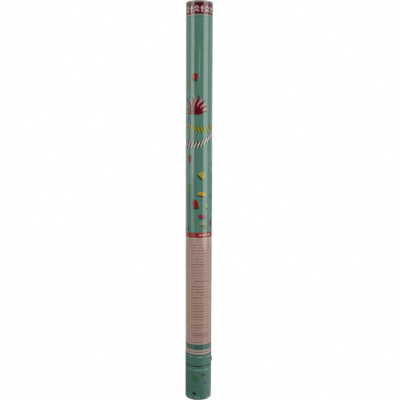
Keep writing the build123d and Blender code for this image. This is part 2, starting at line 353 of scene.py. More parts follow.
class Making(Nodes):
    """A Geometry Nodes tree with named inputs, applied to a piece and turned into plain mesh."""

    def __init__(self, name, sockets):
        super().__init__(bpy.data.node_groups.new(name, "GeometryNodeTree"))
        interface = self.tree.interface
        interface.new_socket("Geometry", in_out="OUTPUT", socket_type="NodeSocketGeometry")
        for socket, kind in {"Geometry": "Geometry", **sockets}.items():
            interface.new_socket(socket, in_out="INPUT", socket_type=f"NodeSocket{kind}")
        self.given_node = self.tree.nodes.new("NodeGroupInput")
        self.result = self.tree.nodes.new("NodeGroupOutput")

    def given(self, name):
        return Value(self, self.given_node.outputs[name])

    def scatter(self, seed):
        """A different random number from -1 to 1 for each point or piece."""
        # The range of plain numbers is the node's inputs 2 and 3, the seed its input 8.
        inputs = {2: -1, 3: 1, 8: seed}
        return self.node("FunctionNodeRandomValue", inputs, 1, data_type="FLOAT")

    def named(self, attribute, kind="FLOAT"):
        return self.node("GeometryNodeInputNamedAttribute", {"Name": attribute}, data_type=kind)

    def place(self, points, blank, turn, **more):
        """A real copy of the blank on every point, turned about Z."""
        rotation = self.node("FunctionNodeEulerToRotation", {"Euler": self.vector(0, 0, turn)})
        inputs = {"Points": points, "Instance": blank, "Rotation": rotation, **more}
        placed = self.node("GeometryNodeInstanceOnPoints", inputs)
        return self.node("GeometryNodeRealizeInstances", {"Geometry": placed})

    def move(self, geometry, **where):
        return self.node("GeometryNodeSetPosition", {"Geometry": geometry, **where})

    def deliver(self, geometry, material=None):
        """Ends the tree, in the material of a named input if one is given."""
        if material:
            inputs = {"Geometry": geometry, "Material": self.given(material)}
            geometry = self.node("GeometryNodeSetMaterial", inputs)
        self.tree.links.new(geometry.socket, self.result.inputs[0])

    def run(self, mesh, settings, thickness=0.0):
        """The mesh that the tree makes of the given one, thickened outwards if asked."""
        bench = in_scene("bench", mesh)
        modifier = bench.modifiers.new("making", "NODES")
        modifier.node_group = self.tree
        for item in self.tree.interface.items_tree:
            if item.in_out == "INPUT" and item.name in settings:
                modifier[item.identifier] = settings[item.name]
        if thickness:
            shell = bench.modifiers.new("thickness", "SOLIDIFY")
            shell.thickness = thickness
            shell.offset = 1.0
        graph = bpy.context.evaluated_depsgraph_get()
        made = bpy.data.meshes.new_from_object(bench.evaluated_get(graph))
        bpy.data.objects.remove(bench)
        return smooth(made)


def point_mesh(name, places, numbers):
    """Loose points that carry named numbers or vectors."""
    mesh = bpy.data.meshes.new(name)
    mesh.from_pydata(places, [], [])
    for attribute, values in numbers.items():
        is_vector = hasattr(values[0], "__len__")
        stored = mesh.attributes.new(attribute, "FLOAT_VECTOR" if is_vector else "FLOAT", "POINT")
        for item, value in zip(stored.data, values):
            if is_vector:
                item.vector = value
            else:
                item.value = value
    return mesh


def slip_pile():
    """One pile of curled slips on every point: copies of the point, a slip on each copy."""
    pile = Making(
        "slip pile",
        {
            "Slip Width": "Float", "Slip Length": "Float", "Slip Thickness": "Float",
            "Pile Height": "Float", "Slips": "Int", "Slide": "Float", "Twist": "Float",
            "Curl": "Float", "Paper": "Material", "Seed": "Int",
        },
    )
    seed, slips, slide = pile.given("Seed"), pile.given("Slips"), pile.given("Slide")
    inputs = {"Geometry": pile.given("Geometry"), "Amount": slips}
    copies = pile.node("GeometryNodeDuplicateElements", inputs, domain="POINT")
    number = Value(pile, copies.socket.node.outputs["Duplicate Index"])
    rise = (number + 0.5) * pile.given("Pile Height") / slips
    offset = pile.vector(pile.scatter(seed) * slide, pile.scatter(seed + 1) * slide, rise)
    size = pile.vector(*(pile.given(f"Slip {side}") for side in ("Length", "Width", "Thickness")))
    inputs = {"Size": size, "Vertices X": 6, "Vertices Y": 3, "Vertices Z": 2}
    slip = pile.node("GeometryNodeMeshCube", inputs)
    turn = pile.named("turn") + pile.scatter(seed + 2) * pile.given("Twist")
    laid = pile.place(pile.move(copies, Offset=offset), slip, turn)
    lift = pile.noise_at(pile.node("GeometryNodeInputPosition"), 11 * MM, 1.0)
    curl = pile.vector(0, 0, (lift - 0.5) * pile.given("Curl"))
    pile.deliver(pile.move(laid, Offset=curl), "Paper")
    return pile


def tissue_finish(name, pale, deep):
    """Thin dyed tissue: soft, a little uneven, each slip its own shade."""
    tissue = Finish(name, {"Roughness": 0.8, "Sheen Weight": 0.15})
    sheet = tissue.chance((tissue.z / (0.85 * MM)).math("FLOOR"))
    fibres = tissue.noise(1.2 * MM, 4.0)
    tissue.paint(sheet * 0.65 + fibres * 0.35, deep, pale)
    tissue.bump(fibres, 0.1 * MM)
    return tissue


seal_card = 0.6 * MM
charge_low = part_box("wad_upper_card")[1].z
charge_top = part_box("muzzle_seal")[1].z - seal_card
tier_count, tier_angle = 56, math.radians(50)
tier_height = (charge_top - charge_low) / tier_count
slip_width, slip_length, pack_gap = 15 * MM, 36.2 * MM, 0.4 * MM
pack_reach = (slip_width + pack_gap) / 2
tissue_colours = {
    "red": (srgb(206, 38, 44), srgb(160, 18, 26)),
    "yellow": (srgb(248, 206, 52), srgb(222, 168, 22)),
    "green": (srgb(86, 172, 74), srgb(38, 124, 50)),
    "blue": (srgb(54, 116, 196), srgb(26, 76, 150)),
    "pink": (srgb(238, 116, 164), srgb(206, 66, 124)),
}
packs = {colour: ([], []) for colour in tissue_colours}
for tier in range(tier_count):
    for side in range(2):
        places, turns = packs[list(tissue_colours)[(2 * tier + side) % len(tissue_colours)]]
        turn = tier * tier_angle + side * math.pi
        level = charge_low + tier * tier_height
        places.append((-pack_reach * math.sin(turn), pack_reach * math.cos(turn), level))
        turns.append(turn)
slip_pile_tree = slip_pile()
for seed, (colour, (pale, deep)) in enumerate(tissue_colours.items()):
    tissue = tissue_finish(f"confetti_{colour}", pale, deep)
    places, turns = packs[colour]
    mesh = slip_pile_tree.run(
        point_mesh(f"packs_{colour}", places, {"turn": turns}),
        {
            "Slip Width": slip_width - 0.5 * MM, "Slip Length": slip_length, "Slip Thickness": 0.5 * MM,
            "Pile Height": tier_height, "Slips": 14, "Slide": 0.3 * MM, "Twist": math.radians(1.5),
            "Curl": 0.7 * MM, "Paper": tissue.material, "Seed": 10 * seed,
        },
    )
    slips = new_piece(f"confetti_slips_{colour}", mesh, None, "charge")
    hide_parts(f"confetti_{colour}")


# Muzzle seal: a foil-faced card cap pushed into the muzzle, just below its edge. The foil is
# pressed with one ring and has crinkled a little, and the skirt grips the bore.

seal_low, seal_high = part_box("muzzle_seal")
seal_radius, seal_wall, seal_underside = seal_high.x, 0.5 * MM, seal_high.z - 1.1 * MM


def foil_finish(name):
    """Creased foil with smears."""
    foil = Finish(name, {"Metallic": 1.0})
    inputs = {"Vector": foil.spot, "Scale": 1 / (5 * MM)}
    creases = foil.node("ShaderNodeTexVoronoi", inputs, feature="DISTANCE_TO_EDGE")
    smear = foil.noise(4 * MM, 4.0)
    foil.paint(smear, srgb(190, 191, 194), srgb(232, 232, 233))
    foil.feed("Roughness", smear * 0.2 + 0.18)
    foil.bump(creases.rise(0, 0.12), 0.12 * MM, 0.6)
    return foil


def waves(seed, fewest, most, number):
    """Random waves round the axis: how often each comes, where it starts and its size."""
    dice = random.Random(seed)
    draws = range(number)
    return [(dice.randint(fewest, most), dice.uniform(0, 6.3), dice.uniform(0.3, 1.0)) for _ in draws]


def crinkle(seed):
    """A push for the turned foil: small waves that grow towards the rim."""
    parts = waves(seed, 2, 9, 7)

    def push(radius, height, angle):
        share = radius / seal_radius
        lift = sum(size * math.sin(count * angle + start + 9 * share) for count, start, size in parts)
        return radius, height + 0.05 * MM * lift * share * (radius < 0.97 * seal_radius)

    return push


seal_face = [
    (0, -0.1), (6, -0.1), (12, -0.12), (15.6, -0.1),
    (16.4, -0.5), (18.6, -0.5), (19.4, -0.1), (22, -0.1),
]
seal_outline = [(r * MM, seal_high.z + drop * MM) for r, drop in seal_face]
seal_outline += [
    (seal_radius - 0.7 * MM, seal_high.z),
    (seal_radius - 0.2 * MM, seal_high.z),
    (seal_radius, seal_high.z - 0.25 * MM),
    (seal_radius, seal_low.z),
    (seal_radius - seal_wall, seal_low.z),
    (seal_radius - seal_wall, seal_underside),
    (0, seal_underside),
]
seal_cap = new_piece(
    "muzzle_seal_foil", turned("muzzle_seal_foil", seal_outline, 144, crinkle(4)),
    foil_finish("seal_card"), "seal",
)
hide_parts("muzzle_seal")


# Barrel wrap: one sheet of glossy laminated paper, printed flat and rolled round the tube with
# a glued overlap behind its right side. Its ground colours run in bands round the tube.

wrap_low, wrap_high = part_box("barrel_wrap")
wrap_radius = wrap_high.x
half_turn = math.pi * wrap_radius
half_turn_mm = half_turn / MM
sheet_thickness, unevenness, gloss = 0.28 * MM, 0.05 * MM, 0.1
seam, overlap, overlap_slope = 57 * MM, 9 * MM, 3 * MM

# The print's own sizes and places are in mm of arc, from the front, and of height.
ply_climb = 120
bands = [
    # The lowest band, a dark edge just above the collar, is partly print and partly painted shade of
    # the collar's edge.
    (95.0, srgb(50, 76, 67)),
    (97.6, srgb(164, 149, 143)),
    (101.1, srgb(136, 102, 103)),
    (103.7, srgb(158, 144, 138)),
    (107.4, srgb(55, 95, 83)),
    (118.8, srgb(160, 147, 142)),
    (120.6, srgb(166, 137, 127)),
    (337.6, srgb(184, 154, 140)),
    (339.4, srgb(126, 26, 28)),
    (350.4, srgb(74, 118, 105)),
    (769.6, srgb(64, 98, 86)),
    (771.9, srgb(136, 134, 127)),
    (774.2, srgb(74, 15, 26)),
    (796.4, srgb(120, 106, 101)),
]
row_blocks, row_pitch, row_start = ((139.6, 336.4), (120.8, 132.6)), 5.7, -16
row_ink, wide_column, narrow_column = (0.24, 0.76), (0, 30), (32, 41)
panel_lines = (
    (133.2, srgb(140, 103, 102)), (135.3, srgb(172, 126, 126)), (137.4, srgb(122, 87, 83)),
)
line_height, line_start, line_length = 2.1, -15, 39
dot_pitch, dot_height, dot_radius, dot_row = 6.6, 345.3, 2.302, 26.4


def rolling():
    """Bends a flat sheet, x along its width and y up it, round a tube; z is the stand-off."""
    roll = Making("roll round the tube", {"Radius": "Float", "Unevenness": "Float"})
    along, up, off = roll.split(roll.node("GeometryNodeInputPosition"))
    radius = roll.given("Radius")
    angle = along / radius
    sine, cosine = angle.math("SINE"), angle.math("COSINE")
    lumps = roll.noise_at(roll.vector(sine * radius, cosine * radius, up * 0.6), 38 * MM, 1.0)
    reach = radius + off + (lumps - 0.5) * roll.given("Unevenness")
    bent = roll.vector(reach * sine, -(reach * cosine), up)
    roll.deliver(roll.move(roll.given("Geometry"), Position=bent))
    return roll


def flat_grid(name, columns, rows, lift=None):
    """A flat sheet through the given x and y values; lift gives each point's stand-off."""
    mesh = bpy.data.meshes.new(name)
    points = [(x, y, lift(x) if lift else 0.0) for y in rows for x in columns]
    width = len(columns)
    faces = [
        (k + j * width, k + 1 + j * width, k + 1 + (j + 1) * width, k + (j + 1) * width)
        for j in range(len(rows) - 1)
        for k in range(width - 1)
    ]
    mesh.from_pydata(points, [], faces)
    return mesh


def steps(low, high, stride):
    """Evenly spaced values from low to high, about a stride apart."""
    count = max(1, round((high - low) / stride))
    return [low + (high - low) * k / count for k in range(count + 1)]


class Varnished(Finish):
    """Print under glossy film: arc and height in mm, and the faint unevenness of the tube below."""

    def __init__(self, name):
        super().__init__(name, {"IOR": 1.6})
        self.arc = self.math("ARCTAN2", self.x, -self.y) * (wrap_radius / MM)
        self.height = self.z / MM
        self.mottle = self.noise(2.2 * MM, 3.0)
        self.drift = self.noise(34 * MM, 1.0)
        pulled = self.noise(3.2 * MM, 1.0, self.vector(self.x, self.y, self.z * 0.03))
        ply = (self.height / ply_climb + self.arc / (2 * half_turn_mm)) % 1.0
        ply_edge = ply.near(0.5, 0.0, 0.014)
        relief = self.drift * 1.2 + pulled * 0.14 - ply_edge * 0.16 + self.mottle * 0.03
        self.bump(relief, 0.22 * MM, 0.5)


def banded(finish, stripes):
    """Bands by height: each colour starts at its own edge and ends at the next."""
    colour = stripes[0][1]
    for edge, shade in stripes[1:]:
        colour = finish.mix(finish.height > edge, colour, shade)
    return colour


def ruled_rows(finish, low, high):
    """Rows of broken bars: a wide and a narrow column on each side of the tube, some rows heavier."""
    rows = (finish.height - low) / row_pitch
    number = rows.math("FLOOR")
    in_row = (rows % 1.0).between(*row_ink)
    along = (finish.arc - row_start) % half_turn_mm
    in_column = along.between(*wide_column) + along.between(*narrow_column) * 0.85
    piece = finish.noise(1.0, 1.0, finish.vector(finish.arc / 5.0, number * 3.7, 0))
    inked = in_row * in_column * (piece > 0.36) * (finish.chance(number) * 0.7 + 0.4)
    return finish.height.between(low, high) * inked


def barrel_print_finish():
    """The sheet's ground: bands, ruled rows, a row of dots in the thin red band, worn edges."""
    ground = Varnished("barrel_print")
    colour = banded(ground, bands)
    for low, high in row_blocks:
        colour = ground.mix(ruled_rows(ground, low, high), colour, srgb(132, 100, 92))
    under_rows = ((ground.arc - line_start) % half_turn_mm).between(0, line_length)
    for low, shade in panel_lines:
        colour = ground.mix(ground.height.between(low, low + line_height) * under_rows, colour, shade)

    along = ground.arc % half_turn_mm
    beside, above = (along % dot_pitch) - dot_pitch / 2, ground.height - dot_height
    dots = (beside * beside + above * above < dot_radius ** 2) * along.between(0.0, dot_row)
    colour = ground.mix(dots, colour, srgb(196, 140, 136))

    rub = ground.noise(1.4 * MM, 4.0)
    top = wrap_high.z / MM
    worn = (ground.height.rise(top - 1.8, top - 0.1) * 0.8 + rub).rise(0.95, 1.25)
    colour = ground.mix(worn * 0.6, colour, srgb(196, 192, 182))
    for pattern, dark, pale in (
        (ground.mottle, (0.95, 0.95, 0.95, 1), (1.05, 1.05, 1.05, 1)),
        (ground.drift, (0.93, 1.0, 1.07, 1), (1.07, 1.0, 0.93, 1)),
    ):
        colour = ground.tint(colour, ground.mix(pattern, dark, pale))
    ground.feed("Base Color", colour)
    ground.feed("Roughness", ground.mottle * 0.04 + worn * 0.3 + (gloss - 0.02))
    return ground


def sheet_lift(arc):
    """The sheet lies on the tube, and its first strip on top of its other end."""
    past = (seam - 2 * half_turn + overlap_slope - arc) / overlap_slope
    return 0.93 * sheet_thickness * min(1.0, max(0.0, past)) - sheet_thickness


roll = rolling()
wrap_sheet = flat_grid(
    "barrel_wrap_sheet",
    steps(seam - 2 * half_turn - overlap, seam, 0.75 * MM),
    steps(wrap_low.z, wrap_high.z, 9 * MM),
    sheet_lift,
)
wrap_settings = {"Radius": wrap_radius, "Unevenness": unevenness}
wrap = new_piece(
    "barrel_wrap_paper", roll.run(wrap_sheet, wrap_settings, sheet_thickness), barrel_print_finish(),
    "barrel",
)
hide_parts("barrel_wrap")


# Print motifs: thin layers of ink on the sheet, rolled with it. Confetti is scattered over the
# field, streamers fan out, twisted crepe hangs below them, and arrows ring the muzzle.

ink_thickness, layer_height = 0.03 * MM, 0.012 * MM
front_arc, back_arc = 0.0, -72.0
ink_colours = {
    "red": (126, 25, 31), "crimson": (92, 8, 24), "rose": (202, 124, 134), "magenta": (128, 38, 74),
    "mauve": (122, 48, 84), "yellow": (150, 143, 44), "gold": (164, 137, 24), "lime": (104, 146, 50),
    "khaki": (124, 134, 70), "green": (64, 114, 32), "olive": (74, 92, 36), "blue": (58, 96, 124),
    "white": (190, 184, 172), "blush": (196, 158, 160), "black": (24, 50, 44), "shade": (58, 54, 34),
    "moss": (60, 97, 64), "fern": (52, 104, 74), "sage": (86, 108, 86), "slate": (44, 55, 52),
}
blanks = []


def stamping():
    """Stamps a flat blank at every point of the sheet, turned and sized, and rolls the lot."""
    stamp = Making(
        "stamp round the tube",
        {"Blank": "Object", "Radius": "Float", "Unevenness": "Float", "Ink": "Material"},
    )
    blank = stamp.node("GeometryNodeObjectInfo", {"Object": stamp.given("Blank")}, "Geometry")
    size = stamp.named("size", "FLOAT_VECTOR")
    placed = stamp.place(stamp.given("Geometry"), blank, stamp.named("turn"), Scale=size)
    inputs = {"Geometry": placed, **{name: stamp.given(name) for name in ("Radius", "Unevenness")}}
    stamp.deliver(stamp.node("GeometryNodeGroup", inputs, node_tree=roll.tree), "Ink")
    return stamp


def ink_finish(name, colour):
    """One ink under the film, a little uneven."""
    ink = Varnished(name)
    ink.paint(ink.mottle, shaded(colour, 0.88), colour)
    ink.feed("Roughness", ink.mottle * 0.04 + (gloss - 0.02))
    return ink


def blank_object(mesh):
    """A shape to stamp, taken out of the scene again once all is printed."""
    blank = in_scene(mesh.name, mesh)
    blanks.append(blank)
    return blank


def cut_for_rolling(mesh, stride=1.2 * MM):
    """Cuts a flat shape into upright strips, so that it can bend round the tube."""
    bm = bmesh.new()
    bm.from_mesh(mesh)
    low = min(v.co.x for v in bm.verts)
    high = max(v.co.x for v in bm.verts)
    for place in steps(low, high, stride)[1:-1]:
        everything = bm.verts[:] + bm.edges[:] + bm.faces[:]
        bmesh.ops.bisect_plane(bm, geom=everything, plane_co=(place, 0, 0), plane_no=(1, 0, 0))
    bm.to_mesh(mesh)
    bm.free()
    return mesh


def outline_mesh(name, outlines):
    """Flat shapes in mm, each an outline given anticlockwise."""
    mesh = bpy.data.meshes.new(name)
    bm = bmesh.new()
    for outline in outlines:
        bm.faces.new([bm.verts.new((x * MM, y * MM, 0)) for x, y in outline])
    bmesh.ops.triangulate(bm, faces=bm.faces)
    bm.to_mesh(mesh)
    bm.free()
    return mesh


def confetti_blank(name, corners, roundness, cells=12):
    """A chip about 1 mm across, its corners drawn in towards a round, as a grid that can bend."""
    values = [-1 + 2 * k / cells for k in range(cells + 1)]
    mesh = flat_grid(name, values, values)
    for vertex in mesh.vertices:
        a, b, _ = vertex.co
        disc = (a * math.sqrt(1 - b * b / 2), b * math.sqrt(1 - a * a / 2))
        u, v = [0.5 * (1 + flat + (bent - flat) * roundness) for flat, bent in zip((a, b), disc)]
        shares = ((1 - u) * (1 - v), u * (1 - v), u * v, (1 - u) * v)
        for axis in range(2):
            vertex.co[axis] = MM * sum(share * corner[axis] for share, corner in zip(shares, corners))
    return mesh


stamp = stamping()
inks = {name: ink_finish(f"ink_{name}", srgb(*colour)) for name, colour in ink_colours.items()}


def stamped(name, blank, ink, prints, layer=1, body="barrel", radius=wrap_radius, uneven=unevenness):
    """One ink's stamps: prints holds (arc, height, width, tall, degrees) in mm."""
    points = point_mesh(
        name,
        [(arc * MM, height * MM, layer * layer_height) for arc, height, *_ in prints],
        {
            "turn": [math.radians(degrees) for *_, degrees in prints],
            "size": [(width, tall, 1.0) for _, _, width, tall, _ in prints],
        },
    )
    settings = {"Blank": blank, "Radius": radius, "Unevenness": uneven, "Ink": inks[ink].material}
    return new_piece(name, stamp.run(points, settings, ink_thickness), None, body)


def drawn_on(name, outlines, ink, layer):
    """Flat shapes that already lie where they belong on the sheet."""
    mesh = cut_for_rolling(outline_mesh(name, outlines))
    for vertex in mesh.vertices:
        vertex.co.z = layer * layer_height
    rolled = roll.run(mesh, wrap_settings, ink_thickness)
    return new_piece(name, rolled, inks[ink], "barrel")


shapes = {
    name: blank_object(confetti_blank(name, corners, roundness))
    for name, corners, roundness in (
        ("leaf", ((-0.5, -0.5), (0.5, -0.5), (0.5, 0.5), (-0.5, 0.5)), 0.75),
        ("slip", ((-0.5, -0.36), (0.4, -0.5), (0.5, 0.36), (-0.34, 0.5)), 0.6),
        ("fold", ((-0.5, -0.36), (0.4, -0.5), (0.43, -0.26), (-0.46, -0.12)), 0.6),
    )
}

# Each piece of confetti: its shape and ink, then arc, height, width, tall and degrees.
confetti_print = [
    ("slip", "red", -9.0, 655.6, 14, 18, -4), ("leaf", "sage", -22.6, 642, 11, 17, 10),
    ("leaf", "black", -26.7, 612, 5, 9, 0), ("leaf", "blue", -21.5, 574, 8, 14, 10),
    ("leaf", "crimson", -19.6, 497, 9, 16, 4), ("slip", "yellow", 5.0, 464.4, 16.5, 17, -38),
    ("leaf", "green", -20.0, 441, 10, 15, 6), ("slip", "gold", 5.6, 426.8, 20, 12, -8),
    ("leaf", "blue", 29.6, 424, 9, 14, 12), ("slip", "red", -7.2, 406.3, 14.5, 22, 14),
    ("slip", "lime", 17.0, 402.4, 9, 13, -14), ("slip", "magenta", 3.2, 381.9, 11, 11, 36),
    ("slip", "mauve", 11.8, 381.6, 12, 9, -12), ("slip", "khaki", 7.2, 367.2, 12, 10, 18),
    ("leaf", "olive", 12.8, 360.6, 11, 9, 10), ("leaf", "crimson", 28.4, 368, 8, 14, -8),
    ("leaf", "black", -24.5, 356, 5, 6, 0),
]
confetti_count, confetti_apart, front_half = 64, 17, 36
seam_low, seam_high, picture_low, picture_high = 46, 62, 512, 632
dice = random.Random(21)
while len(confetti_print) < confetti_count:
    arc, height = dice.uniform(-84, 84), 362 + 398 * dice.random() ** 1.6
    colour = dice.choice(("red", "yellow", "green", "blue", "magenta", "lime", "olive", "crimson"))
    shape, size = dice.choice(("leaf", "slip", "slip")), dice.uniform(7, 11)
    behind = abs(arc) > front_half
    on_seam = seam_low < arc < seam_high
    on_picture = picture_low < height < picture_high and not front_half < arc < seam_low
    near = any(math.hypot(arc - x, height - y) < confetti_apart for _, _, x, y, *_ in confetti_print)
    if behind and not (on_seam or on_picture or near):
        tall, turn = size * dice.uniform(1.0, 1.7), dice.uniform(-60, 60)
        confetti_print.append((shape, colour, arc, height, size, tall, turn))
for shape, colour in sorted({piece[:2] for piece in confetti_print}):
    prints = [piece[2:] for piece in confetti_print if piece[:2] == (shape, colour)]
    stamped(f"print_{shape}_{colour}", shapes[shape], colour, prints)
folds = [piece[2:] for piece in confetti_print if piece[0] == "slip"]
stamped("print_fold_shade", shapes["fold"], "shade", folds, 2)


def streamer(foot, heading, length, swing, waves, width):
    """Outlines of a flat wavy ribbon from its foot, wide in the middle and tapered at its ends."""
    heading = math.radians(heading)
    ahead = (math.sin(heading), math.cos(heading))
    aside = (ahead[1], -ahead[0])
    rail = []
    count = 40
    for k in range(count + 1):
        t = k / count
        sway = swing * math.sin(2 * math.pi * waves * t) * (0.3 + 0.7 * t)
        half = 0.5 * width * math.sin(math.pi * (0.06 + 0.9 * t)) ** 0.6
        middle = [foot[i] + ahead[i] * length * t + aside[i] * sway for i in range(2)]
        rail.append([tuple(middle[i] + aside[i] * side * half for i in range(2)) for side in (1, -1)])
    return [(a[1], a[0], b[0], b[1]) for a, b in zip(rail, rail[1:])]


# Each streamer: its heading in degrees, length, swing, waves and width.
fans = {
    "rose": [
        (-68, 19, 1.2, 1.1, 2.4), (-47, 25, 1.6, 1.3, 2.6), (-25, 31, 1.8, 1.5, 2.8),
        (-3, 34, 2.0, 1.6, 2.8), (19, 34, 1.8, 1.5, 3.2), (41, 30, 1.6, 1.3, 3.4),
        (63, 25, 1.2, 1.1, 3.0),
    ],
    "crimson": [
        (-78, 20, 1.4, 1.0, 5.0), (-58, 24, 1.8, 1.2, 5.4), (-36, 30, 2.2, 1.4, 5.6),
        (-14, 35, 2.4, 1.5, 5.6), (8, 37, 2.4, 1.5, 5.6), (30, 35, 2.2, 1.4, 5.4),
        (52, 29, 1.8, 1.2, 5.2), (74, 24, 1.4, 1.0, 4.8),
    ],
}
fan_feet = [(centre - 7, 584) for centre in (front_arc, back_arc)]
for layer, (ink, ribbons) in enumerate(fans.items(), 2):
    outlines = [piece for foot in fan_feet for ribbon in ribbons for piece in streamer(foot, *ribbon)]
    drawn_on(f"print_streamers_{ink}", outlines, ink, layer)


def hanging(lowest, rise, middle):
    """The height of a hanging line at an arc; rise is how fast it climbs on both sides."""
    return lambda arc: lowest + rise * (arc - middle) ** 2


def crepe(low, high, line, tall, pitch, widths, lean):
    """A twisted crepe streamer along a hanging line: each turn shows as a leaning pointed leaf."""
    tilt = math.radians(lean)
    along, across = (math.sin(tilt), math.cos(tilt)), (math.cos(tilt), -math.sin(tilt))
    leaves = []
    for k in range(round((high - low) / pitch)):
        arc = low + (k + 0.5) * pitch
        width = widths[k % 2]
        edge = []
        for side, turns in ((1, range(-4, 5)), (-1, range(3, -4, -1))):
            for step in turns:
                t = step / 4
                out, up = side * width / 2 * (1 - t * t) ** 0.7, tall / 2 * t
                edge.append((
                    arc + along[0] * up + across[0] * out, line(arc) + along[1] * up + across[1] * out,
                ))
        leaves.append(edge)
    return leaves


crepe_ends, crepe_pitch, crepe_widths = (-33, 35), 3.4, (4.6, 2.7)
crepes = (
    (hanging(554, 0.010, 6), 16, -24, ("olive", "yellow")),
    (hanging(524, 0.014, -10), 18, 24, ("black", "white")),
)
for row, (line, tall, lean, colours) in enumerate(crepes):
    leaves = crepe(*crepe_ends, line, tall, crepe_pitch, crepe_widths, lean)
    for turn, ink in enumerate(colours):
        outlines = [
            [(x + centre, y) for x, y in leaf_edge]
            for centre in (front_arc, back_arc)
            for leaf_edge in leaves[turn::2]
        ]
        drawn_on(f"print_crepe_{ink}", outlines, ink, 2 + 2 * row + turn)

arrow = outline_mesh("arrow", [
    [(-1.4, -6.5), (1.4, -6.5), (1.4, 0.4), (-1.4, 0.4)],
    [(-3.7, 0.4), (3.7, 0.4), (0.0, 6.5)],
])
chevron = outline_mesh("chevron", [
    edge
    for low in (-6.5, -0.6)
    for edge in (
        [(-4.4, low), (0, low + 3.9), (0, low + 7.1), (-4.4, low + 3.2)],
        [(4.4, low), (4.4, low + 3.2), (0, low + 7.1), (0, low + 3.9)],
    )
])
muzzle_units, muzzle_middle = 8, 784.2
unit = 2 * half_turn_mm / muzzle_units
for mark, share in ((arrow, 0.25), (chevron, 0.75)):
    prints = [((k + share) * unit, muzzle_middle, 1, 1, 0) for k in range(muzzle_units)]
    stamped(f"print_muzzle_{mark.name}", blank_object(cut_for_rolling(mark)), "blush", prints)


# Collar band: a plain green paper strip glued round the foot of the barrel over the staples.
# It stands up over each staple's crown, and a pressed bead runs round it near the upper edge.

collar_low, collar_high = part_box("collar_band")
joint_height = (collar_low.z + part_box("base_wrap")[1].z) / 2
collar_radius = collar_high.y
collar_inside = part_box("barrel_tube")[1].x + 0.02 * MM
collar_bead_height, bead_half, bead_reach = 91.8 * MM, 0.75 * MM, 0.26 * MM
staple_low, staple_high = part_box("staples")
staple_angles, crown_half, crown_margin = (90.0, 90.0 + 140.0), 1.7 * MM, 0.4 * MM
crown_reach = collar_high.x - collar_radius
collar_edge, collar_rest, bead_limit = collar_radius - 0.12 * MM, 0.27 * MM, 0.25 * MM


def coated_green(name, pale, deep, roughness, bead_height):
    """Dark green satin paper: cloudy and creased, with a painted highlight along its bead and painted
    shade at the joint to the base; crumpled low down at the hem, with painted shade and highlights."""
    coat = Finish(name, {"IOR": 1.5})
    clouds = coat.noise(7 * MM, 3.0)
    rub = coat.noise(1.6 * MM, 5.0)
    creases = coat.noise(1.8 * MM, 2.0, coat.vector(coat.x * 0.16, coat.y * 0.16, coat.z))
    spots = rub.rise(0.68, 0.78)
    colour = coat.mix(clouds * 0.6 + creases * 0.4, deep, pale)
    # A painted highlight along the crest of the bead, in patches, in place of a glint.
    painted_bead_glint = coat.z.near(bead_height, 0.4 * MM, 1.5 * MM)
    patches = coat.noise(9 * MM, 1.0).rise(0.34, 0.6)
    colour = coat.mix(painted_bead_glint * patches * 0.85, colour, srgb(132, 170, 157))
    # Painted shade along the joint to the base, broken up a little by the same patches.
    painted_joint_shade = coat.z.near(joint_height, 0.7 * MM, 1.9 * MM)
    colour = coat.mix(painted_joint_shade * (1.1 - patches * 0.5), colour, srgb(18, 38, 31))
    at_hem = 1 - coat.z.rise(3 * MM, 15 * MM)
    crumple_and_painted_shading = coat.noise(6 * MM, 3.0, coat.vector(coat.x, coat.y, coat.z * 0.8))
    # Painted shade in the hollows of the crumpled hem and a painted highlight on its raised parts; the
    # same noise also bumps the hem below.
    colour = coat.mix(at_hem * (1 - crumple_and_painted_shading.rise(0.34, 0.46)) * 0.7, colour, srgb(32, 50, 44))
    colour = coat.mix(at_hem * crumple_and_painted_shading.rise(0.44, 0.6) * 0.75, colour, srgb(112, 148, 134))
    coat.paint(spots * 0.22, colour, srgb(140, 164, 152))
    coat.feed("Roughness", clouds * 0.12 + spots * 0.2 + (roughness - 0.06))
    relief = coat.noise(6 * MM, 2.0) + creases * 0.35 + rub * 0.1 + crumple_and_painted_shading * at_hem * 2.0
    coat.bump(relief, 0.3 * MM, 0.35)
    return coat


def wavy(seed, most, size):
    """A smooth uneven line round the tube, about size high."""
    parts = waves(seed, 1, most, 6)
    return lambda angle: size * sum(s * math.sin(n * angle + start) for n, start, s in parts) / 3


collar_wave = wavy(7, 9, 0.06 * MM)
collar_bead = wavy(8, 13, 0.35)


def bead_lift(height, middle, uneven):
    """How far a pressed bead stands out at a height, more or less by an uneven share."""
    across = (height - middle) / bead_half
    return bead_reach * (0.75 + uneven) * math.exp(-across * across)


def crown_lift(height, angle):
    """How far the strip stands up where it runs over a staple's crown."""
    middle, half = (staple_low.z + staple_high.z) / 2, (staple_high.z - staple_low.z) / 2
    along = (height - middle) / (half + crown_margin)
    lift = 0.0
    for place in staple_angles:
        away = (math.degrees(angle) - place + 180) % 360 - 180
        across = math.radians(away) * collar_radius / crown_half
        lift = max(lift, crown_reach * math.exp(-across * across - along ** 6))
    return lift


def collar_push(radius, height, angle):
    """Stands the strip up over the staples and round the bead, and lets it wander a little."""
    crown = crown_lift(height, angle)
    if radius == collar_inside:
        return radius + crown, height
    bead = bead_lift(height, collar_bead_height, collar_bead(angle))
    return radius - collar_rest + max(crown, min(bead_limit, bead)) + collar_wave(angle), height


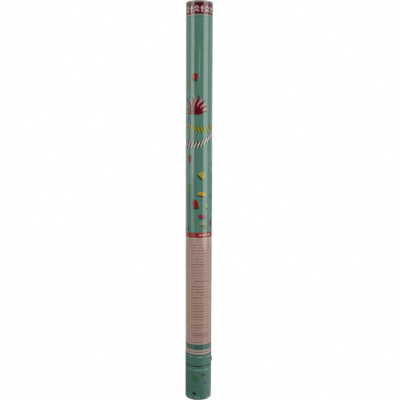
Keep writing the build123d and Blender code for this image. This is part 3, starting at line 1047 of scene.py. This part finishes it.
collar_rows = steps(collar_low.z + 0.2 * MM, collar_high.z - 0.2 * MM, 0.4 * MM)
collar_outline = [(collar_edge, collar_low.z)]
collar_outline += [(collar_radius, height) for height in collar_rows]
collar_outline += [(collar_edge, collar_high.z)]
collar_outline += [(collar_inside, height) for height in steps(collar_high.z, collar_low.z, -0.9 * MM)]
collar_paper = coated_green(
    "collar_paper", srgb(72, 115, 106), srgb(58, 99, 90), 0.26, collar_bead_height
)
collar = new_piece(
    "collar_band_paper", turned("collar_band_paper", collar_outline, 300, collar_push), collar_paper,
    "barrel",
)
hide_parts("collar_band")


# Base wrap: dark green coated paper round the twist base, with a pressed bead near its top.
# The upper edge is turned in over the tube, and the lower one under it, by hand, in pleats.

base_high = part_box("base_wrap")[1]
base_radius = base_high.x
base_inside, base_rest, base_limit = base_radius - 0.29 * MM, 0.1 * MM, 0.28 * MM
base_bead_height = 64.1 * MM
hem_inside, hem_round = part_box("end_plug")[1].x + 0.15 * MM, 1.2 * MM
lip_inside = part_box("lock_ring")[1].x + 0.3 * MM
lip_low, lip_high = base_high.z + 0.02 * MM, base_high.z + 0.2 * MM
pleat_count, pleat_reach, edge_lift = 30, 0.34 * MM, 0.3 * MM
hem = random.Random(16)
pleats = [
    (
        2 * math.pi * (k + hem.uniform(-0.3, 0.3)) / pleat_count,
        hem.uniform(0.25, 1.0),
        hem.uniform(0.6, 1.3) * MM,
        hem.uniform(2.5, 8.0) * MM,
        hem.uniform(-0.25, 0.25),
    )
    for k in range(pleat_count)
]
base_wave = wavy(31, 11, 0.12 * MM)
base_bead = wavy(32, 12, 0.35)


def pleat_depth(angle, height):
    """How far the gathered paper stands out at a place on the hem, 0 to about 1."""
    depth = 0.0
    for place, size, width, tall, lean in pleats:
        away = (angle - place - lean * height / base_radius + math.pi) % (2 * math.pi) - math.pi
        across = away * base_radius / width
        if abs(across) < 3:
            depth += size * math.exp(-across * across - height / tall)
    return depth


def base_push(radius, height, angle):
    """Presses the bead, gathers the hem into pleats and lets its edge lift between them."""
    if radius < base_radius - hem_round and height > 1 * MM:
        return radius, height
    fold = pleat_depth(angle, height)
    bead = bead_lift(height, base_bead_height, base_bead(angle))
    inward = (base_radius - radius) / hem_round
    out = min(base_limit, bead + pleat_reach * fold * max(0.0, 1 - inward))
    soft = base_wave(angle + height * 9) * math.exp(-height / (9 * MM))
    lift = edge_lift * (1 - min(1.0, fold)) if height < 0.5 * MM else 0.0
    return radius - base_rest + out + 0.6 * soft, height + lift


base_rows = steps(base_high.z - 0.15 * MM, hem_round, -0.5 * MM)
base_outline = [(base_inside, lip_low), (lip_inside, lip_low)]
base_outline += [(lip_inside, lip_high), (base_radius - 0.15 * MM, lip_high)]
base_outline += [(base_radius, height) for height in base_rows]
base_outline += [
    (base_radius - hem_round * (1 - math.cos(a)), hem_round * (1 - math.sin(a)))
    for a in (math.radians(d) for d in (20, 40, 60, 80, 90))
]
base_outline += [(hem_inside + 0.7 * MM, 0.0), (hem_inside, 0.0), (hem_inside, 0.6 * MM)]
base_outline += [(base_inside - 1.3 * MM, 1.3 * MM), (base_inside, 2.2 * MM)]
base_paper = coated_green("base_print", srgb(70, 113, 102), srgb(57, 99, 86), 0.28, base_bead_height)
base_wrap = new_piece(
    "base_wrap_paper", turned("base_wrap_paper", base_outline, 360, base_push), base_paper,
    "twist_base",
)
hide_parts("base_wrap")

# Each piece of confetti: its ink, then arc, height, width, tall and degrees. The black one at
# height 14 and the slate one at 12.5 are plain dark blots low down on the hem.
base_confetti = [
    ("moss", -9.5, 50, 9, 9, 8), ("sage", -1.6, 53, 7, 6, 40), ("slate", 11.8, 54, 8, 6, 10),
    ("slate", 13.6, 37, 7, 5, 12), ("black", -8.0, 14, 9, 5, -30), ("fern", -6.0, 45, 17, 10, 4),
    ("slate", 24.8, 12.5, 7, 5, 10), ("slate", 40, 28, 6, 8, 30), ("sage", 55, 50, 7, 9, -10),
    ("black", 68, 24, 6, 5, 0), ("moss", -36, 30, 8, 6, 22), ("slate", -54, 47, 6, 7, -25),
    ("moss", 78, 46, 8, 8, 35), ("sage", -70, 22, 7, 6, 12),
]
for colour in sorted({piece[0] for piece in base_confetti}):
    prints = [piece[1:] for piece in base_confetti if piece[0] == colour]
    stamped(
        f"base_confetti_{colour}", shapes["leaf"], colour, prints, 3, "twist_base",
        base_radius - base_rest, 0.0,
    )
for blank in blanks:
    bpy.data.objects.remove(blank)


# Stage: a pale floor and a white studio round it, which the camera and gloss see as white.
# Near the foot the floor keeps a trace of the object's shadow. From below it is clear.

def seen_as_white(nodes):
    """1 for rays that show the background: from the camera, and by gloss or glass."""
    rays = nodes.node("ShaderNodeLightPath").socket.node
    camera_ray, glossy_ray, glass_ray = [
        Value(nodes, rays.outputs[f"Is {kind} Ray"]) for kind in ("Camera", "Glossy", "Transmission")
    ]
    return camera_ray.math("MAXIMUM", glossy_ray).math("MAXIMUM", glass_ray)


def floor_material():
    """White where it is seen, grey paint for the light, dimmer near the foot, clear from below."""
    material = bpy.data.materials.new("studio_floor")
    material.use_nodes = True
    nodes = Nodes(material.node_tree)
    material.node_tree.nodes.clear()
    paint = nodes.node("ShaderNodeBsdfDiffuse", {"Color": (0.82, 0.82, 0.82, 1)})
    glow = nodes.node("ShaderNodeEmission", {"Color": (1, 1, 1, 1), "Strength": 1.0})
    spot = nodes.node("ShaderNodeTexCoord", out="Object")
    away = nodes.node("ShaderNodeVectorMath", {0: spot}, "Value", operation="LENGTH")
    share = seen_as_white(nodes) * (away.rise(0.03, 0.14) * 0.035 + 0.965)
    mixed = nodes.node("ShaderNodeMixShader", {0: share, 1: paint, 2: glow})
    below = nodes.node("ShaderNodeNewGeometry", out="Backfacing")
    clear = nodes.node("ShaderNodeBsdfTransparent")
    one_sided = nodes.node("ShaderNodeMixShader", {0: below, 1: mixed, 2: clear})
    output = material.node_tree.nodes.new("ShaderNodeOutputMaterial")
    material.node_tree.links.new(one_sided.socket, output.inputs["Surface"])
    return material


def stage_piece(name, mesh, material):
    """A part of the studio, which isn't part of the object."""
    piece = in_scene(name, mesh)
    mesh.materials.append(material)
    return piece


floor_half, floor_drop = 6.0, 0.3 * MM
floor_span = [-floor_half, floor_half]
floor = stage_piece("studio_floor", flat_grid("studio_floor", floor_span, floor_span), floor_material())
floor.location.z = -floor_drop

world = bpy.data.worlds.new("studio")
bpy.context.scene.world = world
world.use_nodes = True
world_nodes = Nodes(world.node_tree)
world.node_tree.nodes.clear()
white, fill = [
    world_nodes.node("ShaderNodeBackground", {"Color": (1, 1, 1, 1), "Strength": strength})
    for strength in (1.0, 0.12)
]
sky = world_nodes.node("ShaderNodeMixShader", {0: seen_as_white(world_nodes), 1: fill, 2: white})
world_output = world.node_tree.nodes.new("ShaderNodeOutputWorld")
world.node_tree.links.new(sky.socket, world_output.inputs["Surface"])


# Lamps: two tall softboxes, left and right of the camera, whose upright reflections run down
# the glossy barrel, a narrow lamp in front, one behind, one above, tipped down over the pressed
# beads, whose glint is painted on the paper, and two fills that the gloss doesn't see.

def around(azimuth, distance):
    """A place on the floor plan; azimuth 0 is towards the camera, positive to its right."""
    angle = math.radians(azimuth)
    return distance * math.sin(angle), -distance * math.cos(angle)


def softbox(name, azimuths, heights, distance, radiance, colour=(1, 1, 1), tip=0.0, in_gloss=True):
    """A lamp that spans these azimuths and heights and faces the axis, tipped down if asked."""
    middle = sum(azimuths) / 2
    lamp = bpy.data.lights.new(name, "AREA")
    lamp.shape = "RECTANGLE"
    lamp.size = 2 * distance * math.tan(math.radians((azimuths[1] - azimuths[0]) / 2))
    lamp.size_y = heights[1] - heights[0]
    lamp.energy = radiance * math.pi * lamp.size * lamp.size_y
    lamp.color = colour
    box = in_scene(name, lamp)
    box.location = (*around(middle, distance), sum(heights) / 2)
    box.rotation_euler = (math.radians(90 - tip), 0, math.radians(middle))
    box.visible_camera = False
    box.visible_glossy = in_gloss


softbox("softbox_left", (-72, -41), (0.37, 1.5), 1.4, 2.6, (1.0, 0.98, 0.84))
softbox("softbox_left_foot", (-72, -41), (0.11, 0.37), 1.4, 1.4, (0.96, 1.0, 0.92))
softbox("softbox_right", (37.5, 76), (0.04, 1.5), 1.4, 2.5, (1.0, 0.99, 0.93))
softbox("softbox_front", (0.0, 5.0), (0.81, 0.93), 1.4, 3.1, (0.96, 1.0, 0.98))
softbox("softbox_back", (150, 215), (0.5, 1.6), 1.8, 0.8)
softbox("softbox_top", (-20, 50), (1.5, 1.9), 1.1, 2.5, tip=50)
softbox("back_fill", (150, 215), (0.2, 1.4), 2.0, 1.8, in_gloss=False)
softbox("front_fill", (-30, 62), (0.0, 0.8), 1.6, 0.95, in_gloss=False)


# Dark cards: one stands in front, low ones on the left and behind the right side, and four lie
# round the foot, to keep the gloss deep on the middle and at the rims. Only the gloss sees them.

def gloss_card(name, mesh, finish):
    """A card that only the gloss sees."""
    card = stage_piece(name, mesh, finish.material)
    card.visible_camera = False
    card.visible_diffuse = False
    card.visible_shadow = False
    return card


# The dim, grey and pale cards are near black and glow faintly, so the gloss shows them grey, as lit
# cards would be.
black_card, dim_card, grey_card, pale_card = [
    Finish(f"{tone}_card", {
        "Base Color": (0.01, 0.01, 0.01, 1), "Roughness": 1.0,
        "Emission Color": (1, 1, 1, 1), "Emission Strength": level,
    })
    for tone, level in (("black", 0.0), ("dim", 0.2), ("grey", 0.3), ("pale", 0.5))
]
for name, finish, azimuth, distance, sides, heights in (
    ("front_card", black_card, 0, 1.6, [-1.75, 1.05], [0.02, 2.4]),
    ("low_card_left", grey_card, -75, 1.45, [-1.0, 1.0], [0.07, 0.3]),
    ("low_card_right", grey_card, 134, 1.75, [-0.5, 0.5], [0.03, 0.37]),
):
    card = gloss_card(name, flat_grid(name, sides, heights), finish)
    card.rotation_euler = (math.radians(90), 0, math.radians(azimuth))
    card.location = (*around(azimuth, distance), 0)
for name, finish, reach, azimuths, height in (
    ("floor_card", black_card, 1.6, (40, 20, 0, -20, -38), -0.15),
    ("floor_card_left", dim_card, 0.27, range(-38, -214, -25), -0.2),
    ("floor_card_far_left", pale_card, 1.9, range(-38, -129, -18), -0.25),
    ("floor_card_right", pale_card, 1.75, range(112, 161, 16), -0.25),
):
    corners = [(0.0, 0.0, 0.0)] + [(*around(azimuth, reach), 0.0) for azimuth in azimuths]
    mesh = bpy.data.meshes.new(name)
    mesh.from_pydata(corners, [], [range(len(corners))])
    gloss_card(name, mesh, finish).location.z = height * MM


# Camera: where the photograph was taken from, a little above the popper's middle and looking
# slightly down. The image is square, 400 pixels wide.

camera_away, camera_height = 1126.3 * MM, 536.6 * MM
pitch_down, turn_right, lean = 6.26, 0.1, 0.2
image_width, focal_pixels = 400, 557.7
camera_data = bpy.data.cameras.new("camera")
camera_data.sensor_width = 36.0
camera_data.lens = camera_data.sensor_width * focal_pixels / image_width
camera = in_scene("camera", camera_data)
camera.location = (0, -camera_away, camera_height)
camera.rotation_euler = (math.radians(90 - pitch_down), math.radians(-lean), math.radians(-turn_right))
bpy.context.scene.camera = camera
bpy.context.scene.view_settings.view_transform = "Standard"
